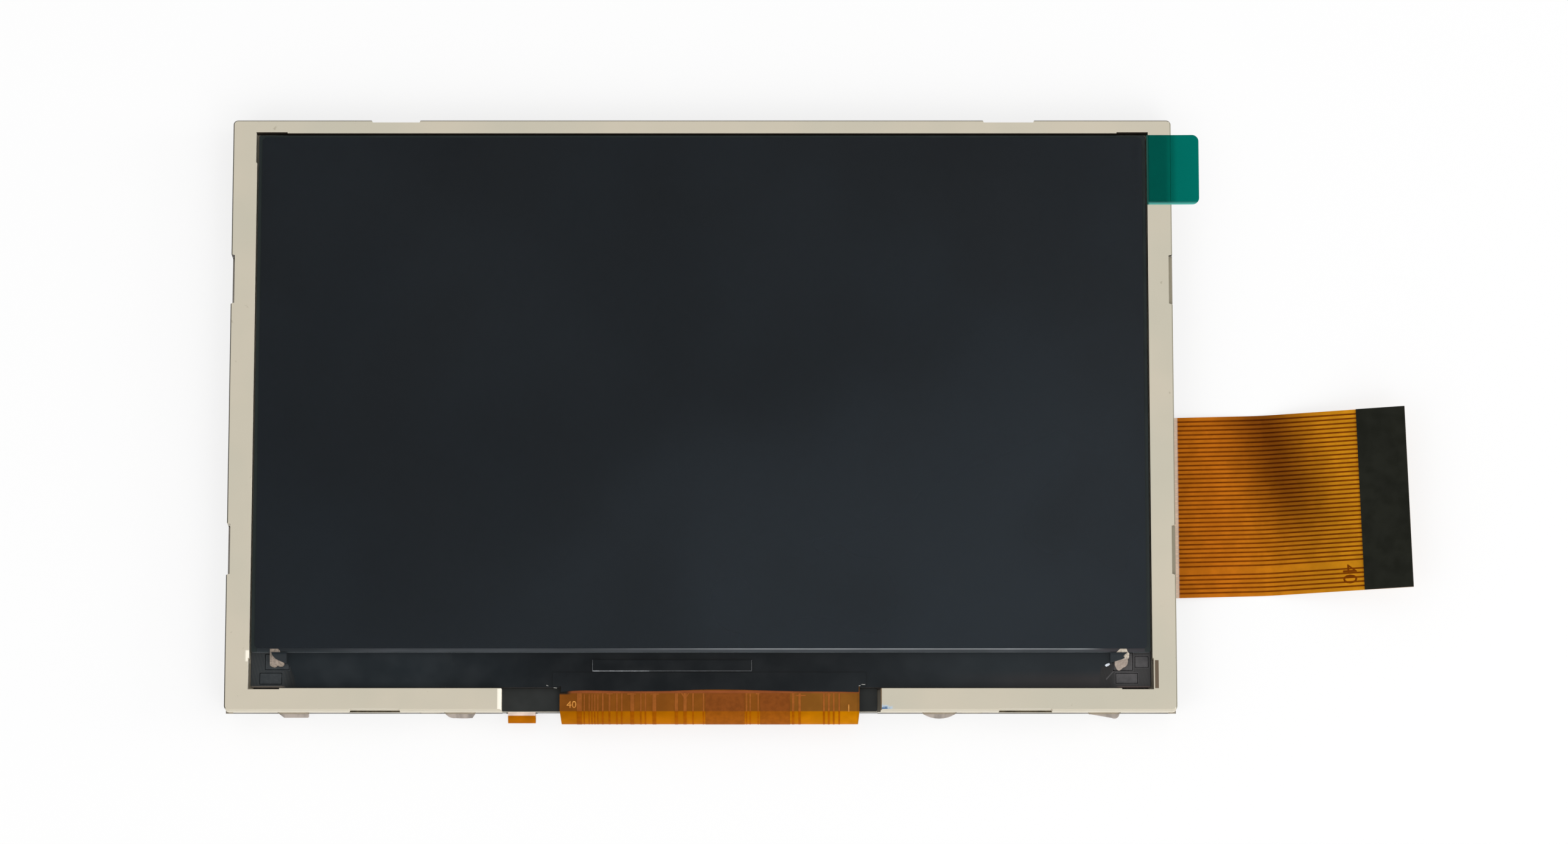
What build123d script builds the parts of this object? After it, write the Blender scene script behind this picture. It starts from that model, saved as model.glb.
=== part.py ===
# A 4.3-inch colour display module with its folded flex circuit, lying on its back with its face up.
# The origin is the centre of the tray's back face. +X is right and +Y is up in the picture, +Z is out of it.
# Lengths are in millimetres and angles in degrees.
import os
from math import asin, cos, degrees, radians, sin

from build123d import *

os.makedirs("parts", exist_ok=True)

# Outline of the module
module_width = 105.5
module_height = 67.2
module_depth = 2.9
corner_radius = 0.5
half_width = module_width / 2
half_height = module_height / 2

# Stamped tray
sheet = 0.2
wall_top = 1.3
bend_radius = 0.3
corner_relief = 0.9
snap_width = 2.4
snap_low = 0.55
snap_high = 0.95
snap_places = {"left": (-24.0, 0.0, 24.0), "right": (-24.0, 0.0, 24.0), "top": (-45.0, -15.0, 15.0, 45.0),
               "bottom": (-30.0, 30.0)}

# Moulded frame
window_half_width = 50.05
window_top = 32.1
window_bottom = -31.15
relief_length = 3.4
relief_depth = 0.12
notch_slant = 0.12
notch_depths = {"left": 0.4, "right": 0.4, "top": 0.25, "bottom": 0.2}
notches = {"left": ((-18.4, -12.5), (12.45, 18.15)), "right": ((-18.4, -12.7), (12.35, 18.1)),
           "top": ((-37.2, -31.7), (31.6, 37.4)), "bottom": ((-38.95, -33.3), (33.0, 38.95))}
rail_gap_left = -22.05
rail_gap_right = 19.93
rail_gap_floor = 1.5
front_chamfer = 0.12

# The tray's two lugs in the right notches, bent over the frame
lug_low = 2.3
lug_high = 2.5
lug_reach = 0.35

# Backlight, from the tray upwards
light_half_width = 48.3
light_top = 30.6
light_gap = 0.15
ear_low = 20.0
ear_high = 25.0
ear_reach = 0.95
reflector_thickness = 0.2
guide_thickness = 0.6
diffuser_thickness = 0.12
prism_thickness = 0.14
reflector_bottom = -29.7
guide_bottom = -28.2
film_bottom = -27.2
led_count = 10
led_pitch = 9.3
led_length = 3.8
led_depth = 1.0
led_wall = 0.12
led_recess = 0.15
led_gap = 0.1

# Panel, from the rim tape upwards
rim_tape_thickness = 0.1
polarizer_thickness = 0.13
glass_thickness = 0.5
clear_film_thickness = 0.06
glass_half_width = 49.85
glass_top = 31.9
ledge_bottom = -30.95
upper_glass_bottom = -27.05
polarizer_bottom = -26.65
polarizer_half_width = 49.45
polarizer_top = 31.6

# Heights that follow from the thicknesses
guide_base = sheet + reflector_thickness
guide_face = guide_base + guide_thickness
diffuser_face = guide_face + diffuser_thickness
shelf = diffuser_face + 2 * prism_thickness
panel_base = shelf + rim_tape_thickness
glass_base = panel_base + polarizer_thickness
ledge = glass_base + glass_thickness
upper_glass_face = ledge + glass_thickness
polarizer_face = upper_glass_face + polarizer_thickness
clear_film_face = polarizer_face + clear_film_thickness

# Main flex circuit: film, fold round the bottom edge, wing on the back
film = 0.08
track = 0.02
adhesive = 0.1
bond_end = -29.6
fold_start = -33.7
fold_left = -15.63
fold_right = 17.58
wing_middle = -adhesive - film / 2
wing_face = -adhesive - film
fold_radius = (ledge + film / 2 - wing_middle) / 2
wing_left = -27.0
wing_bottom = -31.2

# Tail: it leaves at the right, turned a little in its own plane, slopes down and then up from a crease
tail_root = (53.35, 0.03)
tail_angle = 1.85
tail_width = 20.5
pin_pitch = 0.5
pin_count = 40
unused_pin = 35
track_width = 0.17
finger_width = 0.32
finger_length = 3.8
stiffener = 0.2
stiffener_length = 5.45
tail_flat = 8.65
tail_start = -12.0
dip_radius = 6.0
dip_turn = 2.5
dip_run = 10.85
rise_radius = 12.0
rise_turn = 13.0
rise_run = 9.55

# Backlight film and its tab
led_film = 0.1
tab_left = -21.37
tab_right = -18.32
tab_fold_start = -34.0
tab_end = -28.5
joint_radius = 0.5
joint_height = 0.26

# Green pull tab
pull_left = 48.4
pull_right = 55.85
pull_low = 23.85
pull_high = 31.87
pull_thickness = 0.08

# Driver chip, sealing bead and black tape
chip_left = -12.0
chip_right = 5.65
chip_low = -29.16
chip_high = -27.9
chip_height = 0.32
bead_height = 0.17
rail_tape_thickness = 0.1
rail_tape_right = 19.55
rail_tape_low = -33.55
rail_tape_high = -30.98

# Copper on the fold, without its finest lines: first place along X, pitch, how many, and width
fold_track_start = -31.6
fold_track_groups = [
    (-13.44, 0.00, 1, 0.55),
    (-10.85, 0.75, 2, 0.20),
    (-9.28, 0.54, 2, 0.16),
    (-7.58, 0.00, 1, 0.42),
    (-6.63, 0.51, 2, 0.16),
    (-5.13, 0.00, 1, 0.42),
    (-2.69, 0.96, 2, 0.36),
    (-0.85, 1.16, 2, 0.16),
    (2.69, 0.00, 1, 4.36),
    (5.07, 0.41, 2, 0.16),
    (6.36, 0.00, 1, 0.14),
    (8.23, 0.00, 1, 3.33),
    (10.24, 0.71, 2, 0.26),
    (13.64, 0.55, 2, 0.22),
    (14.73, 0.61, 2, 0.18),
]


def block(x_low, x_high, y_low, y_high, z_low, z_high):
    centre = Pos((x_low + x_high) / 2, (y_low + y_high) / 2, (z_low + z_high) / 2)
    return centre * Box(x_high - x_low, y_high - y_low, z_high - z_low)


def plate(points, z_low, z_high, corner=0.0, soften=chamfer):
    # A flat plate, its corners cut off straight unless they are to be rounded.
    outline = make_face(Polyline(*points, close=True))
    if corner:
        outline = soften(outline.vertices(), corner)
    return extrude(Pos(0, 0, z_low) * outline, z_high - z_low)


def rectangle(x_low, x_high, y_low, y_high):
    return [(x_low, y_low), (x_high, y_low), (x_high, y_high), (x_low, y_high)]


def edge_point(side, along, depth):
    # A point at some place along one side of the module, and some depth in from it.
    if side == "left":
        return (depth - half_width, along)
    if side == "right":
        return (half_width - depth, along)
    if side == "top":
        return (along, half_height - depth)
    return (along, depth - half_height)


def edge_plate(side, outline, z_low, z_high):
    return plate([edge_point(side, along, depth) for along, depth in outline], z_low, z_high)


def beside(place, angle, distance):
    # The point at a distance to the left of a place on a walk.
    return (place[0] - distance * sin(angle), place[1] + distance * cos(angle))


def after(place, angle, move):
    # Where a walk stands after a straight run, or after a turn about a radius, positive to the left.
    if move[0] == "run":
        return (place[0] + move[1] * cos(angle), place[1] + move[1] * sin(angle)), angle
    turned = angle + radians(move[2])
    reach = move[1] if move[2] > 0 else -move[1]
    return beside(beside(place, angle, reach), turned, -reach), turned


def walk_edges(place, heading, moves, distance):
    angle = radians(heading)
    edges = []
    for move in moves:
        next_place, next_angle = after(place, angle, move)
        first = beside(place, angle, distance)
        last = beside(next_place, next_angle, distance)
        if move[0] == "run":
            edges.append(Line(first, last))
        else:
            half = after(place, angle, (move[0], move[1], move[2] / 2))
            edges.append(ThreePointArc(first, beside(*half, distance), last))
        place, angle = next_place, next_angle
    return edges


def walk_end(place, heading, moves):
    angle = radians(heading)
    for move in moves:
        place, angle = after(place, angle, move)
    return place, degrees(angle)


def strip(plane, width, place, heading, moves, low, high):
    # A folded strip: the band between two distances from a walk, as wide as stated along the plane's normal.
    lower = walk_edges(place, heading, moves, low)
    upper = walk_edges(place, heading, moves, high)
    ends = [Line(lower[0] @ 0, upper[0] @ 0), Line(lower[-1] @ 1, upper[-1] @ 1)]
    return extrude(plane * make_face(lower + upper + ends), width)


def side_view(x):
    # Drawing plane across the module: drawn to the right is +Y, drawn up is +Z, and it faces +X.
    return Plane(origin=(x, 0, 0), x_dir=(0, 1, 0), z_dir=(1, 0, 0))


def step_moves(rise, length):
    # Two equal arcs that shift a strip sideways by a rise over a length, positive to the left.
    radius = (length ** 2 + rise ** 2) / (4 * abs(rise))
    turn = degrees(asin(length / 2 / radius))
    turn = turn if rise > 0 else -turn
    return [("turn", radius, turn), ("turn", radius, -turn)]


def snap_places_along():
    return [(side, along) for side, places in snap_places.items() for along in places]


def lug_spans():
    # Where the lugs stand along the right side, each a little shorter than its notch.
    shorter = notch_slant + 0.05
    return [(first + shorter, last - shorter) for first, last in notches["right"]]


def make_back_tray():
    tray = block(-half_width, half_width, -half_height, half_height, 0, wall_top)
    tray = fillet(tray.faces().sort_by(Axis.Z)[0].edges(), bend_radius)
    inner_width = half_width - sheet
    inner_height = half_height - sheet
    tray -= block(-inner_width, inner_width, -inner_height, inner_height, sheet, wall_top)
    for x in (-half_width, half_width):
        for y in (-half_height, half_height):
            relief = Pos(x, y, wall_top / 2 + sheet)
            tray -= relief * Box(2 * corner_relief, 2 * corner_relief, wall_top)
    for side, along in snap_places_along():
        first = along - snap_width / 2
        last = along + snap_width / 2
        window = [(first, -sheet), (last, -sheet), (last, 2 * sheet), (first, 2 * sheet)]
        tray -= edge_plate(side, window, snap_low, snap_high)
    for side in ("left", "top"):
        for first, last in notches[side]:
            opening = [(first, -sheet), (last, -sheet), (last, sheet), (first, sheet)]
            tray -= edge_plate(side, opening, 2 * sheet, wall_top)
    for low, high in lug_spans():
        tray += edge_plate("right", rectangle(low, high, 0, sheet), wall_top, lug_low)
        tray += edge_plate("right", rectangle(low, high, 0, lug_reach), lug_low, lug_high)
    tray -= block(tab_left - sheet, tab_right + sheet, -half_height - sheet, -inner_height, bend_radius, wall_top)
    for outline in tie_tab_outlines():
        tab = extrude(make_face(outline), sheet)
        box = tab.bounding_box()
        slot = block(box.min.X - 0.1, box.max.X + 0.1, -half_height - sheet, -inner_height, sheet, wall_top)
        tray = tray - slot + tab
    return tray


def tie_tab_outlines():
    # The four sheared tabs that tied the blank to its strip, each left with its own shape.
    root = -half_height + 2 * sheet
    edge = -half_height
    slanted = [Line((-46.8, root), (-46.8, edge)), Line((-46.8, edge), (-46.25, -34.02)),
               Line((-46.25, -34.02), (-43.65, -34.02)), ThreePointArc((-43.65, -34.02), (-43.54, -33.97), (-43.5, -33.85)),
               Line((-43.5, -33.85), (-43.5, root)), Line((-43.5, root), (-46.8, root))]
    shallow = [Line((-28.35, root), (-28.35, edge)), ThreePointArc((-28.35, edge), (-27.9, -33.95), (-27.2, -34.06)),
               ThreePointArc((-27.2, -34.06), (-26.3, -34.09), (-25.35, -34.05)), Line((-25.35, -34.05), (-25.05, edge)),
               Line((-25.05, edge), (-25.05, root)), Line((-25.05, root), (-28.35, root))]
    bowed = [Line((24.65, root), (24.65, edge)), ThreePointArc((24.65, edge), (26.6, -34.12), (28.25, edge)),
             Line((28.25, edge), (28.25, root)), Line((28.25, root), (24.65, root))]
    sloped = [Line((43.05, root), (43.05, edge)), Line((43.05, edge), (45.6, -34.04)),
              ThreePointArc((45.6, -34.04), (46.3, -33.95), (46.45, edge)), Line((46.45, edge), (46.45, root)),
              Line((46.45, root), (43.05, root))]
    return [slanted, shallow, bowed, sloped]


def make_mould_frame():
    upper_outline = rectangle(-half_width, half_width, -half_height, half_height)
    frame = plate(upper_outline, wall_top, module_depth, corner_radius, fillet)
    frame = chamfer(frame.faces().sort_by(Axis.Z)[-1].edges(), front_chamfer)
    lower_width = half_width - sheet
    lower_height = half_height - sheet
    lower_outline = rectangle(-lower_width, lower_width, -lower_height, lower_height)
    frame += plate(lower_outline, sheet, wall_top, corner_radius, fillet)
    frame -= plate(window_outline(), shelf, module_depth)
    frame -= plate(light_outline(reflector_bottom - light_gap, light_gap), sheet, shelf)
    frame -= block(rail_gap_left, rail_gap_right, -half_height, window_bottom, rail_gap_floor, module_depth)
    frame -= block(tab_left - light_gap, tab_right + light_gap, -half_height, reflector_bottom, sheet,
                   guide_face + led_film + 0.02)
    floors = {"left": sheet, "right": lug_low, "top": sheet, "bottom": wall_top}
    for side, spans in notches.items():
        depth = notch_depths[side]
        for first, last in spans:
            mouth = [(first, 0), (last, 0), (last - notch_slant, depth), (first + notch_slant, depth)]
            frame -= edge_plate(side, mouth, floors[side], module_depth)
    for low, high in lug_spans():
        frame -= edge_plate("right", rectangle(low - 0.05, high + 0.05, 0, sheet), wall_top, lug_low)
    for side, along in snap_places_along():
        root = snap_width / 2 - 0.05
        tip = root - 0.15
        bump = [(along - root, sheet), (along - tip, 0.05), (along + tip, 0.05), (along + root, sheet)]
        frame += edge_plate(side, bump, snap_low + 0.05, snap_high)
    return soften_rail_ends(frame)


def window_outline():
    # The opening for the panel, a little wider for a short way at each corner.
    x, top, bottom = window_half_width, window_top, window_bottom
    wide = x + relief_depth
    high = top + relief_depth
    low = bottom - relief_depth
    inner = x - relief_length
    upper = top - relief_length
    lower = bottom + relief_length
    return [(-inner, low), (-inner, bottom), (inner, bottom), (inner, low), (wide, low), (wide, lower), (x, lower),
            (x, upper), (wide, upper), (wide, high), (inner, high), (inner, top), (-inner, top), (-inner, high),
            (-wide, high), (-wide, upper), (-x, upper), (-x, lower), (-wide, lower), (-wide, low)]


def soften_rail_ends(frame):
    # The two upright corners beside the lowered rail are rounded over.
    corners = []
    for edge in frame.edges().filter_by(Axis.Y):
        middle = edge @ 0.5
        beside_gap = abs(middle.X - rail_gap_left) < 0.01 or abs(middle.X - rail_gap_right) < 0.01
        if beside_gap and middle.Z > module_depth - 0.01 and edge.length > 1:
            corners.append(edge)
    return fillet(corners, 0.25)


def light_outline(bottom, gap):
    # A plate of the backlight with its two locating ears, grown all round by a gap.
    x = light_half_width + gap
    top = light_top + gap
    ear = x + ear_reach
    low = ear_low - gap
    high = ear_high + gap
    return [(-x, bottom), (x, bottom), (x, low), (ear, low), (ear, high), (x, high), (x, top), (-x, top),
            (-x, high), (-ear, high), (-ear, low), (-x, low)]


def make_led_package(x):
    high = guide_bottom - led_gap
    body = block(x - led_length / 2, x + led_length / 2, high - led_depth, high, guide_base, guide_face)
    mouth = led_length / 2 - 4 * led_wall
    return body - block(x - mouth, x + mouth, high - led_recess, high, guide_base + led_wall, guide_face - led_wall)


def make_led_packages():
    first = -led_pitch * (led_count - 1) / 2
    return [make_led_package(first + led_pitch * place) for place in range(led_count)]


def make_led_flex():
    end = led_pitch * led_count / 2
    row = plate(rectangle(-end, end, reflector_bottom, guide_bottom + 0.9), guide_face, guide_face + led_film, 0.4)
    middle = guide_face + led_film / 2
    back = wing_face - led_film / 2
    start = reflector_bottom + 1.0
    moves = [("run", start - tab_fold_start), ("turn", (middle - back) / 2, 180), ("run", tab_end - tab_fold_start)]
    return row + strip(side_view(tab_left), tab_right - tab_left, (start, middle), 180, moves,
                       -led_film / 2, led_film / 2)


def make_rim_tape():
    edge = window_half_width - 0.1
    outer = plate(rectangle(-edge, edge, window_bottom + 0.1, window_top - 0.1), shelf, panel_base, 0.4)
    inner = light_half_width - 0.7
    return outer - plate(rectangle(-inner, inner, film_bottom + 0.4, light_top - 0.7), shelf, panel_base, 0.4)


def make_pane(bottom, half, top, z_low, z_high, corner):
    return plate(rectangle(-half, half, bottom, top), z_low, z_high, corner)


def make_pull_tab():
    facing_front = Plane(origin=(0, pull_high, 0), x_dir=(1, 0, 0), z_dir=(0, -1, 0))
    rise = module_depth - clear_film_face
    moves = [("run", 0.65)] + step_moves(rise, 0.9) + [("run", 2.95), ("turn", 40.0, 4.3)]
    start = (pull_left, clear_film_face + pull_thickness / 2)
    bent = strip(facing_front, pull_high - pull_low, start, 0, moves, -pull_thickness / 2, pull_thickness / 2)
    outline = make_face(Polyline(*rectangle(pull_left, pull_right, pull_low, pull_high), close=True))
    outer_corners = outline.vertices().filter_by(lambda corner: corner.X > module_width / 2)
    outline = fillet(outer_corners, 0.75)
    return bent & extrude(outline, 2 * module_depth)


def fold_moves():
    return [("run", bond_end - fold_start), ("turn", fold_radius, 180), ("run", wing_bottom + 0.3 - fold_start)]


def tail_frame():
    angle = radians(tail_angle)
    return Plane(origin=(*tail_root, 0), x_dir=(cos(angle), sin(angle), 0), z_dir=(sin(angle), -cos(angle), 0))


def tail_point(along, across):
    # A point of the tail's own outline, as it lies flat: along it, and across it from its upper edge.
    angle = radians(tail_angle)
    x = tail_root[0] + along * cos(angle) - across * sin(angle)
    return (x, tail_root[1] + along * sin(angle) + across * cos(angle))


def tail_moves():
    return [("run", tail_flat), ("turn", dip_radius, -dip_turn), ("run", dip_run),
            ("turn", rise_radius, rise_turn), ("run", rise_run), ("run", stiffener_length)]


def stiffener_place():
    # Where the walk along the tail's side view reaches the stiffener, and its heading there.
    return walk_end((tail_start, wing_middle), 0, tail_moves()[:-1])


def wing_outline():
    inner_corner = (fold_right, tail_point(-36.45, -tail_width)[1])
    neck = fold_start + 0.3
    return [(fold_left, neck), (fold_right, neck), inner_corner,
            tail_point(tail_start + 1, -tail_width), tail_point(tail_start + 1, 0), tail_point(-62.0, 0),
            (-14.0, -8.0), (wing_left, -8.0), (wing_left, wing_bottom), (fold_left, wing_bottom)]


def make_wing():
    outline = make_face(Polyline(*wing_outline(), close=True))
    rounded = [corner for corner in outline.vertices() if corner.X < 30 and corner.Y > wing_bottom - 0.5]
    return extrude(Pos(0, 0, wing_face) * fillet(rounded, 1.2), film)


def fold_trims():
    # What is cut away beside the fold, where the film narrows to pass the edge.
    outer = fold_start - fold_radius - film
    left = [(fold_left, -33.5), (fold_left + 0.06, -33.8), (fold_left + 0.22, outer), (fold_left - 1, outer),
            (fold_left - 1, -33.5)]
    right = [(fold_right, -33.55), (fold_right - 0.16, outer), (fold_right + 1, outer), (fold_right + 1, -33.55)]
    return [plate(outline, -1, module_depth) for outline in (left, right)]


def make_main_flex():
    fold = strip(side_view(fold_left), fold_right - fold_left, (bond_end, ledge + film / 2), 180, fold_moves(),
                 -film / 2, film / 2)
    for trim in fold_trims():
        fold -= trim
    tail = strip(tail_frame(), tail_width, (tail_start, wing_middle), 0, tail_moves(), -film / 2, film / 2)
    return make_wing() + fold + tail


def make_fold_tracks():
    outer = -film / 2 - track
    start = (fold_track_start, ledge + film / 2)
    moves = [("run", fold_track_start - fold_start), ("turn", fold_radius, 180), ("run", 1.6)]
    tracks = []
    for first, pitch, count, width in fold_track_groups:
        for place in range(count):
            low = first + pitch * place - width / 2
            tracks.append(strip(side_view(low), width, start, 180, moves, outer, -film / 2))
    return tracks


def make_tail_tracks():
    start = (tail_start + tail_flat, wing_middle)
    tracks = []
    for pin in range(1, pin_count + 1):
        if pin == unused_pin:
            continue
        plane = tail_frame().offset(pin_pitch * pin - track_width / 2)
        tracks.append(strip(plane, track_width, start, 0, tail_moves()[1:-1], film / 2, film / 2 + track))
    return tracks


def make_tail_stiffener():
    place, heading = stiffener_place()
    return strip(tail_frame(), tail_width, place, heading, tail_moves()[-1:], film / 2, film / 2 + stiffener)


def make_contact_fingers():
    place, heading = stiffener_place()
    start, heading = walk_end(place, heading, [("run", stiffener_length - finger_length - 0.15)])
    fingers = []
    for pin in range(1, pin_count + 1):
        plane = tail_frame().offset(pin_pitch * pin - finger_width / 2)
        fingers.append(strip(plane, finger_width, start, heading, [("run", finger_length)],
                             -film / 2 - 2 * track, -film / 2))
    return fingers


def make_wing_adhesive():
    under_wing = plate(rectangle(-25.5, 16.0, -29.5, -9.5), -adhesive, 0, 1.0)
    under_arm = plate(rectangle(19.0, 47.5, -20.0, -2.5), -adhesive, 0, 1.0)
    return [under_wing, under_arm]


def make_wing_tape():
    # A strip laid over the wing's upper edge and down onto the tray.
    tape = 0.06
    moves = [("run", 3.7)] + step_moves(-wing_face, 1.8) + [("run", 4.6)]
    return strip(side_view(-24.0), 8.0, (-11.6, wing_face - tape / 2), 0, moves, -tape / 2, tape / 2)


def make_bond_sealant():
    low = [(-13.9, -31.33), (-10.5, -31.34), (-6.0, -31.39), (-3.0, -31.34), (-0.5, -31.23), (1.9, -31.2),
           (4.6, -31.23), (7.3, -31.31), (10.0, -31.39), (13.7, -31.42)]
    left, right = (-15.5, -31.5), (17.5, -31.48)
    upper = Polyline(right, (17.5, -30.85), (18.3, -30.85), (18.3, -29.3), (-16.4, -29.3), (-16.4, -30.85),
                     (-15.5, -30.85), left)
    bead = extrude(Pos(0, 0, ledge) * make_face([Spline(left, *low, right), upper]), bead_height)
    return bead - block(fold_left, fold_right, fold_start, bond_end, ledge, ledge + film)


def make_draped_dot(outline, low, reach):
    # Paste that runs from the upper glass down its edge and onto the ledge.
    top = upper_glass_face + 0.05
    over = polarizer_bottom - 0.04
    crest = (upper_glass_bottom - reach, top)
    edges = [Line((upper_glass_bottom, ledge), (low, ledge)),
             ThreePointArc((low, ledge), (low + 0.25 * (crest[0] - low), ledge + 0.55 * (top - ledge)), crest),
             Line(crest, (over, top)), Line((over, top), (over, upper_glass_face)),
             Line((over, upper_glass_face), (upper_glass_bottom, upper_glass_face)),
             Line((upper_glass_bottom, upper_glass_face), (upper_glass_bottom, ledge))]
    left = min(point[0] for point in outline)
    right = max(point[0] for point in outline)
    side = extrude(side_view(left) * make_face(edges), right - left)
    return side & plate(outline, ledge, module_depth)


def make_silver_dots():
    top = polarizer_bottom - 0.04
    left = [(-47.75, top), (-46.87, top), (-46.64, -26.9), (-46.5, -27.6), (-46.2, -28.12), (-46.15, -28.35),
            (-46.22, -28.52), (-46.4, -28.62), (-46.68, -28.62), (-46.89, -28.52), (-47.05, -28.65),
            (-47.2, -28.73), (-47.46, -28.67), (-47.75, -28.5)]
    right = [(46.48, top), (47.2, top), (47.3, -27.0), (47.48, -27.2), (47.46, -27.65), (47.31, -27.87),
             (47.34, -28.13), (47.25, -28.45), (47.05, -28.66), (46.79, -28.76), (46.53, -29.0), (46.32, -29.07),
             (46.09, -28.92), (45.98, -28.71), (45.88, -28.5), (45.87, -28.15), (46.0, -27.15)]
    speck = [(44.8, -28.45), (44.93, -28.62), (45.2, -28.52), (45.36, -28.38), (45.3, -28.22), (45.0, -28.3)]
    return [make_draped_dot(left, -28.75, 0.3), make_draped_dot(right, -29.1, 0.35), plate(speck, ledge, ledge + 0.08)]


def make_driver_chip():
    chip = block(chip_left, chip_right, chip_low, chip_high, ledge, ledge + chip_height)
    return chamfer(chip.faces().sort_by(Axis.Z)[-1].edges(), 0.04)


def make_rail_tape():
    # Black tape on the lowered rail, laid over the gap beside the panel onto the rim tape.
    outline = rectangle(rail_gap_left, rail_tape_right, rail_tape_low, rail_tape_high)
    return plate(outline, rail_gap_floor, rail_gap_floor + rail_tape_thickness, 0.12)


def make_chip_part(x, y, length, width, height, cap):
    # A small surface part under the wing: a body between two slightly larger end caps.
    slim = 0.03
    body = block(-length / 2, length / 2, -width / 2 + slim, width / 2 - slim, wing_face - height + slim, wing_face)
    for end in (-1, 1):
        far = end * length / 2
        near = far - end * cap
        body += block(min(far, near), max(far, near), -width / 2, width / 2, wing_face - height, wing_face)
    return Pos(x, y, 0) * body


def make_flex_capacitors():
    rows = [(-21.0, -8.0, 2.9, 8), (-16.4, -8.0, 2.9, 5), (-11.8, 0.7, 2.9, 4)]
    return [make_chip_part(first + pitch * place, y, 1.6, 0.8, 0.5, 0.3)
            for y, first, pitch, count in rows for place in range(count)]


def make_flex_resistors():
    return [make_chip_part(8.6 + 2.1 * place, -16.4, 1.0, 0.5, 0.35, 0.2) for place in range(4)]


def make_flex_diode(x, y):
    body = plate(rectangle(x - 0.85, x + 0.85, y - 0.6, y + 0.6), wing_face - 0.5, wing_face - 0.05)
    body = chamfer(body.faces().sort_by(Axis.Z)[0].edges(), 0.1)
    leads = block(x - 1.25, x + 1.25, y - 0.15, y + 0.15, wing_face - 0.12, wing_face)
    return body + leads


def make_flex_diodes():
    return [make_flex_diode(-8.0, -11.8), make_flex_diode(-4.2, -11.8)]


def make_solder_joint(x):
    # A low mound of solder that runs from the end of the backlight's tab onto the wing.
    place = Pos(x, tab_end + joint_radius, wing_face - joint_height / 2)
    mound = place * Cylinder(joint_radius, joint_height)
    return chamfer(mound.edges().sort_by(Axis.Z)[0], 0.6 * joint_height)


def write(name, solids):
    export_step(Compound(children=solids) if isinstance(solids, list) else solids, "parts/" + name + ".step")


write("back_tray", make_back_tray())
write("mould_frame", make_mould_frame())
write("reflector_sheet", plate(light_outline(reflector_bottom, 0), sheet, guide_base))
write("light_guide_plate", plate(light_outline(guide_bottom, 0), guide_base, guide_face))
write("led_packages", make_led_packages())
write("led_flex", make_led_flex())
write("diffuser_sheet", plate(light_outline(film_bottom, 0), guide_face, diffuser_face))
write("lower_prism_sheet", plate(light_outline(film_bottom, 0), diffuser_face, diffuser_face + prism_thickness))
write("upper_prism_sheet", plate(light_outline(film_bottom, 0), diffuser_face + prism_thickness, shelf))
write("rim_tape", make_rim_tape())
write("rear_polarizer", make_pane(polarizer_bottom, polarizer_half_width, polarizer_top, panel_base, glass_base, 0.3))
write("tft_glass", make_pane(ledge_bottom, glass_half_width, glass_top, glass_base, ledge, 0.15))
write("colour_filter_glass", make_pane(upper_glass_bottom, glass_half_width, glass_top, ledge, upper_glass_face, 0.15))
write("front_polarizer", make_pane(polarizer_bottom, polarizer_half_width, polarizer_top, upper_glass_face,
                                   polarizer_face, 0.3))
write("protective_film", make_pane(polarizer_bottom + 0.08, 49.0, 31.5, polarizer_face, clear_film_face, 0.5))
write("pull_tab", make_pull_tab())
write("driver_chip", make_driver_chip())
write("bond_sealant", make_bond_sealant())
write("silver_dots", make_silver_dots())
write("rail_tape", make_rail_tape())
write("main_flex", make_main_flex())
write("fold_tracks", make_fold_tracks())
write("tail_tracks", make_tail_tracks())
write("tail_stiffener", make_tail_stiffener())
write("contact_fingers", make_contact_fingers())
write("wing_adhesive", make_wing_adhesive())
write("wing_tape", make_wing_tape())
write("flex_capacitors", make_flex_capacitors())
write("flex_resistors", make_flex_resistors())
write("flex_diodes", make_flex_diodes())
write("led_solder_joints", [make_solder_joint(tab_left + 0.75), make_solder_joint(tab_right - 0.75)])
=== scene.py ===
from math import cos, pi, radians, sin

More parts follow.
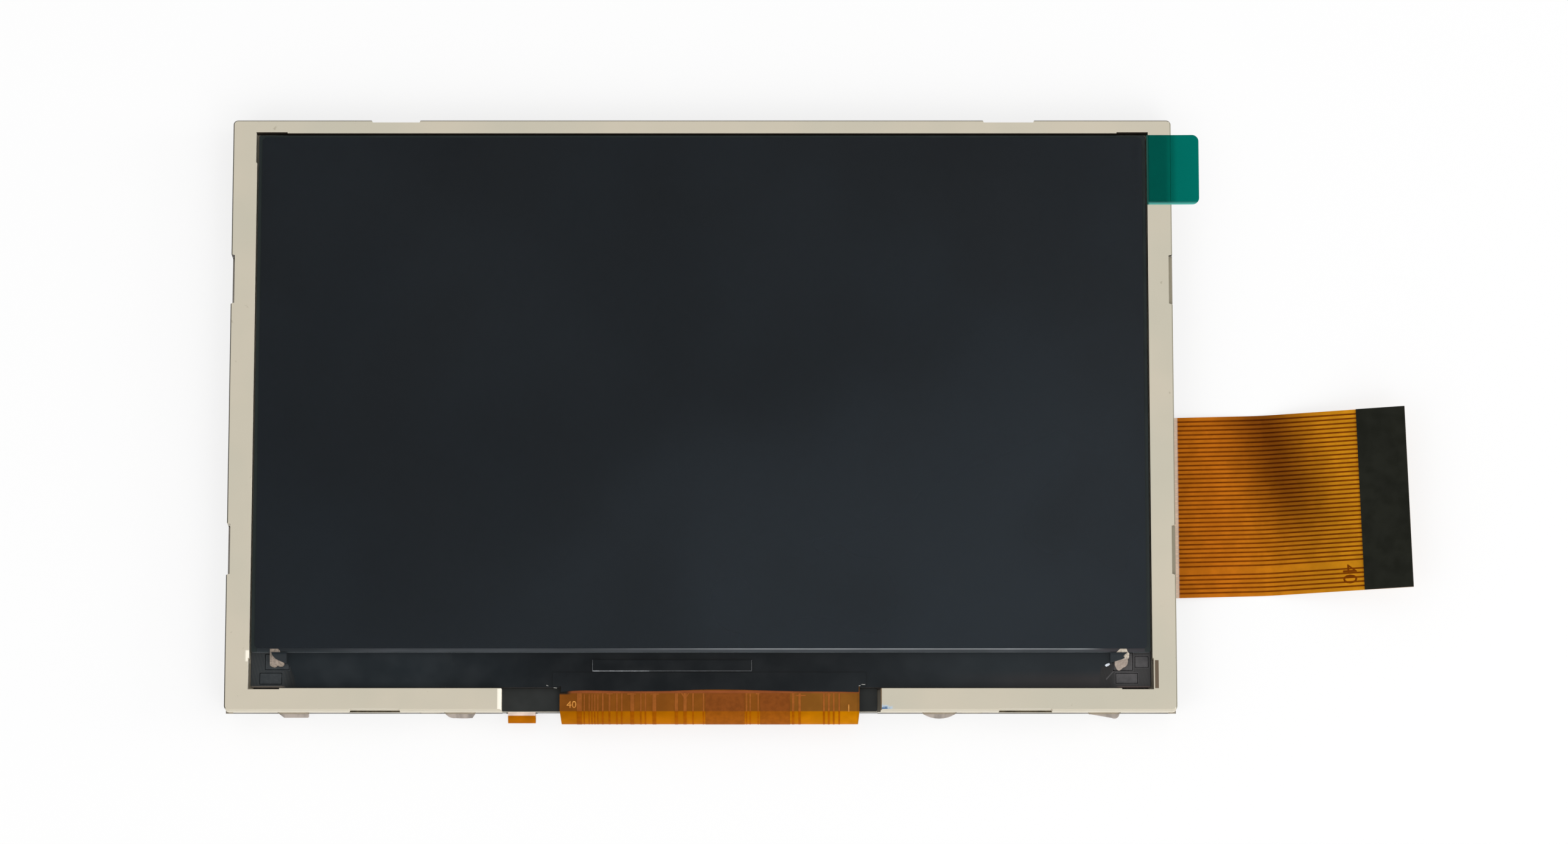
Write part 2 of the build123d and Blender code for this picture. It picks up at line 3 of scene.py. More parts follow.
import bpy
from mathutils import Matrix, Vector


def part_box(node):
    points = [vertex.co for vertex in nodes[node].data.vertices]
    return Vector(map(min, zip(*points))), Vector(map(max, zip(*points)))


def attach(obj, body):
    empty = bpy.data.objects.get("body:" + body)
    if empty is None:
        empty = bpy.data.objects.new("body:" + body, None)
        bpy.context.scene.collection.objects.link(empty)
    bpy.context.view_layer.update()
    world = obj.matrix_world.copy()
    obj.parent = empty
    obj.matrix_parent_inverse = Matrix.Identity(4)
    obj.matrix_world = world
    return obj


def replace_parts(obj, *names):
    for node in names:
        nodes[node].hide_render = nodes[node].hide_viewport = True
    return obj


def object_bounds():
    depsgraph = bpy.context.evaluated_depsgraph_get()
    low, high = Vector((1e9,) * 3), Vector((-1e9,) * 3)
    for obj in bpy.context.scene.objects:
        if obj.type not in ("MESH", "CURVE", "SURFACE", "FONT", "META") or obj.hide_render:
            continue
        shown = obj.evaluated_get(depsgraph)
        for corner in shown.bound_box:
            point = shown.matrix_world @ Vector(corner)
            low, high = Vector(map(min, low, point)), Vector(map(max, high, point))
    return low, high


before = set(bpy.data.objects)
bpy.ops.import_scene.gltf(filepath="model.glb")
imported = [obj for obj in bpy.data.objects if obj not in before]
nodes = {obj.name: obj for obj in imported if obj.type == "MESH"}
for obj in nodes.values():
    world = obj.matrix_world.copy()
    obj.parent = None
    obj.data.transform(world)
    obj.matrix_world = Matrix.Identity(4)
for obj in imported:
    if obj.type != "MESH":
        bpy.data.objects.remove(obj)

# A bare display module lying face up, dressed in its finishes. Lengths are in millimetres until a
# mesh or a light is made, and colours are the 0 to 255 values of a picture.
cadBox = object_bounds()
mm = 0.001


def corners(name):
    low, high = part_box(name)
    return low / mm, high / mm


ledge = corners("tft_glass")[1].z             # upper face of the lower glass
upperGlass = corners("colour_filter_glass")[1].z
wingFace = corners("flex_capacitors")[1].z    # underside of the flex circuit's wing
filmThickness = 0.08
foldOuter = (ledge + filmThickness - wingFace) / 2
foldStart = corners("main_flex")[0].y + foldOuter       # where the flex starts to bend
foldMiddle = ledge + filmThickness - foldOuter

# Shader helpers. They add their nodes to the finish that is being made.
making = {}
white = (255, 255, 255)


def tone(red, green, blue, strength=1.0):
    # a picture's colour as the linear values that a shader takes
    def straight(value):
        value = value / 255
        return value / 12.92 if value <= 0.04045 else ((value + 0.055) / 1.055) ** 2.4
    return (straight(red) * strength, straight(green) * strength, straight(blue) * strength, 1.0)


def plug(value, socket):
    # another node's result, a number or a colour
    if isinstance(value, bpy.types.NodeSocket):
        making["tree"].links.new(value, socket)
    else:
        socket.default_value = tone(*value) if socket.type == "RGBA" and len(value) == 3 else value


def newNode(kind, values={}):
    # values has what goes to each input, by its name or number
    node = making["tree"].nodes.new("ShaderNode" + kind)
    for name, value in values.items():
        plug(value, node.inputs[name])
    return node


def newFinish(name, colour, roughness, metallic=0.0, gloss=0.5):
    material = bpy.data.materials.new(name)
    material.use_nodes = True
    making["material"] = material
    making["tree"] = material.node_tree
    making["shader"] = material.node_tree.nodes["Principled BSDF"]
    give("Base Color", colour)
    give("Roughness", roughness)
    give("Metallic", metallic)
    give("Specular IOR Level", gloss)


def give(name, value):
    plug(value, making["shader"].inputs[name])


def where(stretch=(1, 1, 1)):
    # millimetres in the module's own frame, stretched where a grain runs one way
    source = newNode("TexCoord").outputs["Object"]
    return newNode("Mapping", {"Vector": source, "Scale": [part / mm for part in stretch]}).outputs["Vector"]


def split(vector):
    return newNode("SeparateXYZ", {0: vector}).outputs


def here():
    return split(where())


def facing():
    return split(newNode("NewGeometry").outputs["Normal"])


def mottle(size, detail=2.0, stretch=(1, 1, 1)):
    # noise whose patches are about as many millimetres wide as size says
    return newNode("TexNoise", {"Scale": 1 / size, "Detail": detail, "Vector": where(stretch)}).outputs["Fac"]


def between(value, low, high, first=0.0, last=1.0):
    # goes softly from first to last while the value goes from low to high
    ramp = newNode("MapRange", {"Value": value, "From Min": low, "From Max": high,
                                "To Min": first, "To Max": last})
    ramp.interpolation_type = "SMOOTHSTEP"
    return ramp.outputs["Result"]


def cloud(size, detail, first=0.0, last=1.0, low=0.3, high=0.7, stretch=(1, 1, 1)):
    # mottle of which the part from low to high is spread from first to last
    return between(mottle(size, detail, stretch), low, high, first, last)


def maths(kind, first, second=0.5):
    node = newNode("Math", {0: first, 1: second})
    node.operation = kind
    return node.outputs[0]


def times(first, *others):
    for other in others:
        first = maths("MULTIPLY", first, other)
    return first


def plus(first, second):
    return maths("ADD", first, second)


def minus(first, second):
    return maths("SUBTRACT", first, second)


def without(mask):
    return minus(1.0, mask)


def either(first, second):
    return maths("MAXIMUM", first, second)


def absolute(value):
    return maths("ABSOLUTE", value)


def above(value, limit):
    return maths("GREATER_THAN", value, limit)


def below(value, limit):
    return maths("LESS_THAN", value, limit)


def within(value, low, high):
    return times(above(value, low), below(value, high))


def blend(amount, first, last, way="MIX"):
    mix = newNode("Mix", {0: amount, 6: first, 7: last})      # 6 and 7 are its two colours
    mix.data_type = "RGBA"
    mix.blend_type = way
    return mix.outputs[2]


def shaded(colour, by):
    return blend(1.0, colour, by, "MULTIPLY")


def relief(height, depth):
    give("Normal", newNode("Bump", {"Distance": depth * mm, "Height": height}).outputs["Normal"])


def surface(colour, rough=None, grain=None):
    # the last step of a finish: its colour, uneven gloss and fine relief
    give("Base Color", colour)
    if rough:
        size, least, most = rough
        give("Roughness", cloud(size, 3, least, most))
    if grain:
        size, detail, depth = grain
        relief(mottle(size, detail), depth)
    return making["material"]


def mixShaders(amount, first, last):
    mixed = newNode("MixShader", {0: amount, 1: first.outputs[0], 2: last.outputs[0]})
    plug(mixed.outputs[0], making["tree"].nodes["Material Output"].inputs["Surface"])


def dress(name, material):
    # gives a CAD node its finish
    materials = nodes[name].data.materials
    if not materials:
        materials.append(material)
    for place in range(len(materials)):
        materials[place] = material


# In the dictionaries a cloud and its like are (size, detail, first, last, low, high, stretch), rough is
# (size, least, most), grain is (size, detail, depth), and a pair of numbers is where something starts and
# where it is complete.

# Moulded frame: white plastic gone warm, with a fine eroded grain, painted highlights on some edges and
# painted shade on its walls and beside the window
mould = {"colour": (200, 191, 172), "cooler": (193, 187, 169), "patches": (16, 3, 0, 1, 0.35, 0.65),
         "speck": (152, 142, 120), "specks": (0.9, 5, 0, 1, 0.70, 0.76), "speckBody": 0.5,
         "rough": (3.0, 0.46, 0.6), "grain": (0.16, 2, 0.004),
         "paintedHighlight": (250, 243, 226), "railEnd": (-22.5, -22.1), "railEndTop": -31.2,
         "relieved": ((-50.55, -50.3), (-49.6, -49.75), (-28.25, -28.0), (-26.8, -27.0)),
         "wearAndPaintedShade": (98, 82, 64), "paintedShadeAcross": (50.3, 50.72), "paintedShadeAlong": (-31.15, -28.0),
         "shade": (92, 87, 75), "lowStrip": (19.5, 20.0), "lowStripHeight": (1.0, 1.8),
         "upright": (0.88, 0.78), "turned": (0.35, 0.6), "outerLeft": -52.3, "outerRight": 52.6,
         "bright": (250, 242, 224), "rim": (66, 63, 52), "rimStrength": 4.0, "rearBody": 0.8,
         "brown": (58, 50, 40), "brownLow": (116, 94, 68), "brownFade": (-26.9, -28.6),
         "front": (190, 182, 163), "crest": (232, 224, 205), "lightLine": (1.72, 1.58)}
ink = {"place": (20.52, -33.50), "spread": 1.8, "ragged": (0.35, 3, -0.25, 0.25), "inner": 0.35,
       "outer": 0.75, "body": 0.85, "stains": ((0.78, (176, 196, 214)), (0.42, (30, 84, 132)))}


def mouldFinish():
    newFinish("warmWhiteMoulding", mould["colour"], 0.5)
    base = blend(cloud(*mould["patches"]), mould["colour"], mould["cooler"])
    base = blend(times(cloud(*mould["specks"]), mould["speckBody"]), base, mould["speck"])
    for reach, colour in ink["stains"]:
        base = blend(inkMask(reach), base, colour)
    x, y, z = here()
    # painted highlights: the rail's end beside the gap and the window's lower left relief are painted paler
    railEnd = times(within(x, *mould["railEnd"]), below(y, mould["railEndTop"]))
    left, right, lower, upper = mould["relieved"]
    relieved = times(between(x, *left), between(x, *right), between(y, *lower), between(y, *upper))
    base = blend(either(railEnd, relieved), base, mould["paintedHighlight"])
    # painted shade: a brown strip on the top face along the lower part of the window's right edge
    base = blend(times(within(x, *mould["paintedShadeAcross"]), within(y, *mould["paintedShadeAlong"])), base, mould["wearAndPaintedShade"])
    lowStrip = times(within(x, *mould["lowStrip"]), within(z, *mould["lowStripHeight"]))
    base = blend(lowStrip, base, mould["shade"])
    return surface(mouldWalls(base), mould["rough"], mould["grain"])


def mouldWalls(base):
    # walls toward the light are paler than the top face, and those away from it are browner
    x, y, z = here()
    across, along, up = facing()
    upright = between(up, *mould["upright"])
    low, high = mould["turned"]
    right, rear = [times(upright, between(way, low, high)) for way in (across, along)]
    left, front = [times(upright, between(way, -low, -high)) for way in (across, along)]
    glow = tone(*mould["rim"], mould["rimStrength"])
    base = blend(right, base, blend(above(x, mould["outerRight"]), mould["bright"], glow))
    brown = blend(between(y, *mould["brownFade"]), mould["brown"], mould["brownLow"])
    base = blend(left, base, blend(below(x, mould["outerLeft"]), brown, mould["rim"]))
    lower = blend(between(z, *mould["lightLine"]), mould["front"], mould["crest"])
    base = blend(front, base, blend(above(y, 0.0), lower, mould["brown"]))
    return blend(times(rear, mould["rearBody"]), base, mould["rim"])


def inkMask(reach):
    # a small stain of blue ink on the lower rail, beside the gap
    x, y = here()[:2]
    across = maths("DIVIDE", minus(x, ink["place"][0]), ink["spread"])
    along = minus(y, ink["place"][1])
    square = plus(maths("POWER", across, 2.0), maths("POWER", along, 2.0))
    distance = plus(maths("SQRT", square), times(cloud(*ink["ragged"]), reach))
    return between(distance, reach * ink["inner"], reach * ink["outer"], ink["body"], 0.0)


# Tray: cold-rolled stainless sheet with its grain along the module, its walls painted darker as shade and the
# top of its front wall painted as a pale highlight
steel = {"colour": (196, 190, 182), "stain": (168, 160, 148), "gloss": 0.15,
         "lines": (0.05, 3, (1 / 40, 1, 1)),
         "lineRough": (0.26, 0.36), "depth": 0.0012, "smudges": (7, 4, 0.0, 0.14, 0.35, 0.7),
         "upright": (0.7, 0.4), "streaks": (0.9, 3, 0, 1, 0.35, 0.65, (1, 0.3, 1)), "foot": 0.02,
         "rimFoot": 1.0, "wall": (60, 54, 42), "edge": (84, 76, 60), "lug": (146, 140, 124), "lugFoot": 2.2,
         "dullMetal": 0.1, "bend": (0.98, 1.1), "bendFacing": -0.2, "crest": (206, 198, 180),
         "gaps": ((-22.0, -15.5), (17.3, 19.6)), "gapEdge": -33.2, "gapBend": (0.62, 0.5),
         "gapWall": (36, 37, 36), "mirror": (240, 240, 238),
         "tab": (182, 173, 168), "tabDark": (150, 143, 139), "tabEdge": -33.62}


def steelFinish():
    newFinish("rolledStainless", steel["colour"], 0.3, 1.0, steel["gloss"])
    lines = mottle(*steel["lines"])
    base = blend(between(lines, 0.3, 0.7), steel["colour"], steel["stain"])
    x, y, z = here()
    away = facing()
    upright = between(absolute(away[2]), *steel["upright"])
    streaks = cloud(*steel["streaks"])
    gap = either(*[within(x, *limits) for limits in steel["gaps"]])
    gap = times(gap, below(y, steel["gapEdge"]))
    low = blend(gap, between(z, *steel["bend"]), between(z, *steel["gapBend"]))
    bend = times(low, below(away[1], steel["bendFacing"]))
    outer = times(upright, above(z, steel["foot"]), without(bend))
    rim = times(above(z, steel["rimFoot"]), without(bend))
    wall = either(outer, rim)
    # painted shade: upright walls take dark tones in place of the bright steel
    wallTone = blend(times(rim, streaks), steel["wall"], steel["edge"])
    wallTone = blend(upright, wallTone, steel["wall"])
    wallTone = blend(above(z, steel["lugFoot"]), wallTone, steel["lug"])
    wallTone = blend(gap, wallTone, steel["gapWall"])
    # painted highlight: the top of the front wall is painted pale and dull, except in the gaps under the
    # flex, where it stays bright metal
    base = blend(bend, base, blend(gap, steel["crest"], steel["mirror"]))
    base = blend(wall, base, wallTone)
    sheared = below(y, steel["tabEdge"])
    base = blend(sheared, base, blend(streaks, steel["tab"], steel["tabDark"]))
    dull = either(times(bend, without(gap)), either(sheared, wall))
    give("Metallic", between(dull, 0, 1, 1.0, steel["dullMetal"]))
    give("Roughness", plus(cloud(*steel["smudges"]), between(lines, 0.3, 0.7, *steel["lineRough"])))
    relief(lines, steel["depth"])
    return surface(base)


# Panel: a dark polarizer between two glasses, with cut edges that catch the light and a painted reflection
# across its face
panel = {"face": (24, 31, 37), "far": (12, 18, 23), "edge": (58, 62, 66), "slope": 0.45, "fade": (-28, 46),
         "cloud": (22, 2, 0.9, 1.2, 0.35, 0.65), "rough": (30, 0.24, 0.27), "waves": (14, 1, 0.002)}


def cutEdge(colour, edge):
    # one colour on the faces of a sheet and another on its cut edges
    return blend(between(absolute(facing()[2]), 0.3, 0.7), edge, colour)


def polarizerFinish():
    newFinish("darkPolarizer", panel["face"], panel["rough"][1])
    x, y = here()[:2]
    # painted reflection: the face is darker toward the upper left and paler toward the lower right
    paintedReflectionShare = between(minus(times(x, panel["slope"]), y), *panel["fade"])
    face = shaded(blend(paintedReflectionShare, panel["far"], panel["face"]), cloud(*panel["cloud"]))
    return surface(cutEdge(face, panel["edge"]), panel["rough"], panel["waves"])


coverLow, coverHigh = corners("protective_film")
clearFilm = {"colour": (150, 158, 166), "veil": 0.001, "smear": (12, 4, 0.5, 1.5, 0.4, 0.75, (1, 0.35, 1)),
             "waves": (20, 1, 0.002), "middle": (coverLow.z + coverHigh.z) / 2}


def clearFilmFinish():
    newFinish("clearFilm", clearFilm["colour"], 0.3)
    flat = between(absolute(facing()[2]), 0.3, 0.7)
    veil = times(cloud(*clearFilm["smear"]), clearFilm["veil"])
    give("Alpha", times(flat, above(here()[2], clearFilm["middle"]), veil))
    return surface(clearFilm["colour"], None, clearFilm["waves"])


lowerGlass = {"left": (50, 54, 56), "right": (57, 56, 56), "sheen": (66, 65, 65), "edge": (60, 56, 54)}
# the upper glass's pale cut edge is a painted highlight
coverGlass = {"left": (36, 43, 43), "right": (36, 43, 43), "sheen": (39, 46, 46), "edge": (92, 98, 102)}
glass = {"linePitch": 0.35, "lineSlope": 0.8, "lines": (0.2, 0.35, 0.0, 0.3), "fade": (-30, 30),
         "bloom": (4, 4, 0.0, 0.5, 0.45, 0.7), "rough": (2.5, 0.08, 0.2), "waves": (6, 2, 0.004),
         "brown": (92, 78, 74), "pale": (120, 110, 100), "borderLow": (-30.74, -30.88),
         "borderSide": (45.9, 46.5), "dim": 0.5, "dimSide": (44.9, 46.8), "dimTop": -28.4}


def glassFinish(name, tones):
    # black matrix and fine metal lines under a polished face
    newFinish(name, tones["left"], 0.1)
    x, y = here()[:2]
    fan = plus(maths("DIVIDE", x, glass["linePitch"]), times(y, glass["lineSlope"]))
    face = blend(between(x, *glass["fade"]), tones["left"], tones["right"])
    face = blend(between(maths("PINGPONG", fan, 0.5), *glass["lines"]), face, tones["sheen"])
    face = blend(cloud(*glass["bloom"]), face, tones["sheen"])
    border = times(between(y, *glass["borderLow"]), between(absolute(x), *glass["borderSide"]))
    lit = either(between(absolute(x), *glass["dimSide"]), above(y, glass["dimTop"]))
    face = shaded(face, between(lit, 0.0, 1.0, glass["dim"], 1.0))
    # painted shade and light along the lower corners: a brown strip on the left and a pale one on the right
    face = blend(border, face, blend(above(x, 0.0), glass["pale"], glass["brown"]))
    return surface(cutEdge(face, tones["edge"]), glass["rough"], glass["waves"])


# Flex circuit: amber film, brown where black tape lies under it and bright where light comes through
film = {"amber": (178, 108, 22), "overTape": (132, 76, 24), "overTapeRight": (130, 82, 29),
        "tapeFade": (6, 13),
        "open": (173, 101, 0), "openRight": (184, 114, 0), "openFade": (8, 15), "gloss": 0.02,
        "foldLimit": (-33.56, -33.68), "frontEdge": (-29.0, -29.3), "frontHeight": (1.2, 1.7),
        "leftShade": (-16, 4, 0.84, 1.0), "rightShade": (17.2, 17.4, 1.0, 0.84),
        "sideShade": (0.5, 0.8, 1.0, 0.5),
        "underBead": (150, 80, 48), "beadLine": -31.44, "beadReach": (0.0, 0.26, 0.8, 0.0),
        "hood": (34, 31, 27), "hoodAcross": (-14.2, -14.9), "hoodAlong": (-31.85, -31.6),
        "tailLeft": (188, 106, 20), "tailRight": (198, 132, 22), "tailStart": (52.3, 52.8),
        "tailFade": (56.8, 73.5), "shade": (0.36, 0.30, 0.42, 1.0), "shadePlace": 63.0, "shadeSlope": 0.33,
        "shadeReach": (0.0, 7.5, 1.0, 0.0),
        "shadeFade": (-18.5, -7, 0.15, 1.0), "paintedPaleHighlight": (232, 206, 184), "paleHighlightReach": (53.38, 53.18),
        "paleHighlightFacing": (0.3, 0.6), "cloud": (1.6, 4, 0.9, 1.08, 0.35, 0.7), "rough": (2.0, 0.26, 0.4),
        "ripple": (2.2, 3)}


def filmTone(overTape, openAir, left, right, plain):
    # picks the tone by where the film lies: on the fold, beside the module, or behind it
    x, y, z = here()
    front = times(between(y, *film["frontEdge"]), between(z, *film["frontHeight"]))
    colour = blend(front, plain, overTape)
    colour = blend(between(y, *film["foldLimit"]), colour, openAir)
    for side in ("leftShade", "rightShade"):
        colour = shaded(colour, between(x, *film[side]))
    bead = between(absolute(minus(y, film["beadLine"])), *film["beadReach"])
    colour = blend(times(bead, front), colour, film["underBead"])
    hood = times(between(x, *film["hoodAcross"]), between(y, *film["hoodAlong"]))
    colour = blend(times(hood, front), colour, film["hood"])
    # painted shade and light: the tail is darker near the module and paler toward its end
    tail = blend(between(x, *film["tailFade"]), left, right)
    crease = minus(film["shadePlace"], times(y, film["shadeSlope"]))
    band = between(absolute(minus(x, crease)), *film["shadeReach"])
    tail = shaded(tail, blend(times(band, between(y, *film["shadeFade"])), white, film["shade"]))
    # painted highlight: a pale strip on the tail's upper face where it leaves the frame
    paintedPaleHighlight = times(between(x, *film["paleHighlightReach"]), between(facing()[2], *film["paleHighlightFacing"]))
    tail = blend(paintedPaleHighlight, tail, film["paintedPaleHighlight"])
    return blend(between(x, *film["tailStart"]), colour, tail)


def filmFinish(name, depth):
    newFinish(name, film["amber"], 0.3, 0.0, film["gloss"])
    x = here()[0]
    overTape = blend(between(x, *film["tapeFade"]), film["overTape"], film["overTapeRight"])
    openAir = blend(between(x, *film["openFade"]), film["open"], film["openRight"])
    base = filmTone(overTape, openAir, film["tailLeft"], film["tailRight"], film["amber"])
    base = shaded(base, between(absolute(facing()[0]), *film["sideShade"]))
    return surface(shaded(base, cloud(*film["cloud"])), film["rough"], (*film["ripple"], depth))


copper = {"overTape": (152, 87, 36), "open": (156, 82, 0), "tailLeft": (118, 55, 4),
          "tailRight": (116, 56, 4),
          "behind": (150, 84, 26), "pour": (126, 68, 26), "pourOpen": (144, 78, 14),
          "pours": ((0.45, 4.93), (6.5, 9.95)), "cloud": (0.5, 3, 0.9, 1.1), "rough": (0.8, 0.28, 0.42),
          "grain": (0.12, 2, 0.002)}


def copperFinish():
    newFinish("copperUnderFilm", copper["behind"], 0.32, 0.0, film["gloss"])
    x = here()[0]
    pour = either(*[within(x, *limits) for limits in copper["pours"]])
    overTape = blend(pour, copper["overTape"], copper["pour"])
    openAir = blend(pour, copper["open"], copper["pourOpen"])
    base = filmTone(overTape, openAir, copper["tailLeft"], copper["tailRight"], copper["behind"])
    return surface(shaded(base, cloud(*copper["cloud"])), copper["rough"], copper["grain"])


gilt = {"colour": (224, 182, 96), "bright": (228, 188, 104), "wearAndPaintedShade": (186, 142, 72), "wear": (0.45, 0.75),
        "scuff": (0.12, 4, (0.2, 1, 1)), "depth": 0.001, "rough": (0.4, 0.18, 0.34)}


def giltFinish():
    newFinish("giltContact", gilt["colour"], 0.24, 1.0)
    scuff = mottle(*gilt["scuff"])
    relief(scuff, gilt["depth"])
    return surface(blend(between(scuff, *gilt["wear"]), gilt["bright"], gilt["wearAndPaintedShade"]), gilt["rough"])


# Stiffener, tapes and sealant: blacks of different gloss
black = {"paler": 1.35, "patches": 20, "roughPatches": 10, "rough": (-0.06, 0.08)}


def blackFinish(name, colour, roughness, grain, depth, edge=None, gloss=0.3):
    newFinish(name, colour, roughness, 0.0, gloss)
    face = blend(cloud(grain * black["patches"], 4), colour, tone(*colour, black["paler"]))
    rough = (grain * black["roughPatches"], *[roughness + part for part in black["rough"]])
    return surface(cutEdge(face, edge) if edge else face, rough, (grain, 3, depth))


# the lacquer on the ledge and the bead over the bonded film
darkCoat = {"ends": (29, 35, 39), "middle": (14, 18, 21), "reach": (9, 36), "centre": -1,
            "warm": (44, 42, 43), "warmAcross": (24, 44), "warmAlong": (-28.8, -30.2),
            "cloud": (6, 4, 0.94, 1.14), "rough": (3.0, 0.14, 0.26), "grain": (0.3, 3, 0.001)}


def lacquerFinish():
    # paler toward both ends of the ledge than in the middle
    newFinish("darkLacquer", darkCoat["ends"], 0.2)
    x, y = here()[:2]
    away = absolute(minus(x, darkCoat["centre"]))
    face = blend(between(away, *darkCoat["reach"]), darkCoat["middle"], darkCoat["ends"])
    warm = times(between(x, *darkCoat["warmAcross"]), between(y, *darkCoat["warmAlong"]))
    face = blend(warm, face, darkCoat["warm"])
    return surface(shaded(face, cloud(*darkCoat["cloud"])), darkCoat["rough"], darkCoat["grain"])


# Pull tab: dyed film that tints whatever lies under it
tab = {"colour": (0, 60, 52), "tint": (0, 99, 87), "tintOut": (0, 115, 103), "over": (0, 114, 111),
       "overOut": (0, 132, 127), "rail": (52.0, 52.72), "railEnd": 52.75, "beyond": (52.78, 53.5),
       "glued": (50.06, 49.96), "plain": (0, 40, 34), "body": 0.04,
       "band": (24.33, 23.86), "bandTone": (140, 252, 240), "bandBody": 0.32,
       "milky": (50.24, 50.14), "milkyTone": (0, 76, 67), "milkyBody": 0.85,
       "waves": (4, 2, 0.002), "raisedTo": 53.0}


def pullTabFinish():
    newFinish("greenDyedFilm", tab["colour"], 0.36)
    x, y = here()[:2]
    over = blend(between(x, *tab["rail"]), tab["over"], tab["overOut"])
    beyond = blend(between(x, *tab["beyond"]), tab["tint"], tab["tintOut"])
    tint = blend(above(x, tab["railEnd"]), over, beyond)
    dye = blend(newNode("NewGeometry").outputs["Backfacing"], tint, white)    # once for the two faces
    glued = between(x, *tab["glued"])
    dye = blend(glued, dye, white)        # clear where it is stuck to the film
    seen = newNode("LightPath").outputs["Is Camera Ray"]
    window = newNode("BsdfTransparent", {"Color": blend(seen, white, dye)})
    milky = between(x, *tab["milky"])
    band = times(between(y, *tab["band"]), without(milky))
    body = plus(times(band, tab["bandBody"]), tab["body"])
    body = either(body, times(milky, tab["milkyBody"]))
    mixShaders(times(body, without(glued)), window, making["shader"])
    plain = blend(milky, tab["plain"], tab["milkyTone"])
    return surface(blend(band, plain, tab["bandTone"]), None, tab["waves"])


# Driver chip, silver paste, solder and the parts on the wing
silicon = {"colour": (16, 20, 23), "ground": (13, 17, 20), "hazy": (17, 21, 24), "gloss": 0.5,
           "haze": (1.2, 4, 0, 1, 0.4, 0.7, (0.3, 1, 1)), "glint": (168, 172, 176),
           "faintGlint": (60, 64, 68),
           "glintFade": (-6.4, -5.4), "glintFacing": (-0.2, -0.5), "leftEnd": -11.98,
           "broken": (0.6, 3, 0.45, 1.0, 0.35, 0.65), "rough": (3.0, 0.14, 0.26), "grain": (0.3, 2, 0.001)}


def siliconFinish():
    # a dull ground face, of which the edges glint at the left end
    newFinish("groundSilicon", silicon["colour"], 0.2, 0.0, silicon["gloss"])
    x = here()[0]
    glint = blend(between(x, *silicon["glintFade"]), silicon["glint"], silicon["faintGlint"])
    glint = shaded(glint, cloud(*silicon["broken"]))
    lit = either(between(facing()[1], *silicon["glintFacing"]), below(x, silicon["leftEnd"]))
    face = blend(cloud(*silicon["haze"]), silicon["ground"], silicon["hazy"])
    return surface(blend(lit, face, glint), silicon["rough"], silicon["grain"])


paste = {"warm": (158, 143, 130), "grey": (130, 118, 106), "flakes": (0.22, 5, 0, 1, 0.35, 0.65),
         "cream": (220, 210, 192), "creamDark": (196, 182, 166), "tan": (166, 152, 140),
         "tanDark": (148, 134, 124),
         "tanLimit": (-27.7, -27.95), "dark": (92, 84, 78), "pits": (0.35, 4, 0, 1, 0.62, 0.76),
         "speck": (236, 242, 250), "speckReach": (44.0, 45.5), "metal": 0.35, "rough": (0.3, 0.4, 0.7),
         "grain": (0.16, 5, 0.02)}


def pasteFinish():
    newFinish("silverPaste", paste["warm"], 0.55, paste["metal"])
    flakes = cloud(*paste["flakes"])
    x, y = here()[:2]
    # painted highlight: the right dot is painted paler cream above and tan below
    low = between(y, *paste["tanLimit"])
    leftTone = blend(flakes, paste["grey"], paste["warm"])
    rightTone = blend(flakes, blend(low, paste["creamDark"], paste["tanDark"]),
                      blend(low, paste["cream"], paste["tan"]))
    base = blend(above(x, 0.0), leftTone, rightTone)
    base = blend(cloud(*paste["pits"]), base, paste["dark"])
    # painted glint: the speck beside the right dot is painted near white
    base = blend(within(x, *paste["speckReach"]), base, paste["speck"])
    return surface(base, paste["rough"], paste["grain"])


solder = {"colour": (196, 198, 202), "bright": (204, 206, 210), "frosted": (150, 150, 152),
          "frost": (0.14, 4, 0, 1, 0.35, 0.7), "rough": (0.2, 0.22, 0.45), "grain": (0.14, 4, 0.006)}


def solderFinish():
    newFinish("dullSolder", solder["colour"], 0.3, 1.0)
    base = blend(cloud(*solder["frost"]), solder["bright"], solder["frosted"])
    return surface(base, solder["rough"], solder["grain"])


# each row of parts: its finish, two tones, X of the first, pitch, and where the metal ends start
chipParts = {"capacitors": ("capacitorCeramic", (150, 118, 88), (128, 98, 72), -8.0, 2.9, 0.5),
             "resistors": ("resistorGlaze", (30, 30, 33), (52, 52, 56), 8.6, 2.1, 0.3),
             "diodes": ("diodeMoulding", (34, 34, 36), (26, 26, 28), -8.0, 3.8, 0.88),
             "metal": (198, 198, 200), "metalRough": (0.5, 0.3), "soft": 0.02, "turns": 20.5,
             "cloud": (0.2, 4), "grain": (0.09, 3, 0.004)}


def chipPartFinish(name, body, dark, first, pitch, reach):
    newFinish(name, body, 0.4)
    turned = maths("MODULO", plus(here()[0], pitch * chipParts["turns"] - first), pitch)    # kept positive
    away = absolute(minus(turned, pitch / 2))
    metal = between(away, reach - chipParts["soft"], reach + chipParts["soft"])
    give("Metallic", metal)
    give("Roughness", between(metal, 0, 1, *chipParts["metalRough"]))
    base = blend(metal, blend(cloud(*chipParts["cloud"]), body, dark), chipParts["metal"])
    return surface(base, None, chipParts["grain"])


# Backlight: white reflector, clear guide with its printed dots, milky diffuser and ribbed prism sheets
whiteFilm = {"dimmer": 0.93, "rough": (-0.05, 0.08), "grain": (0.1, 2, 0.002)}


def whiteFilmFinish(name, colour, roughness, size):
    newFinish(name, colour, roughness)
    base = blend(cloud(size, 3), colour, tone(*colour, whiteFilm["dimmer"]))
    rough = (size / 2, *[roughness + part for part in whiteFilm["rough"]])
    return surface(base, rough, whiteFilm["grain"])


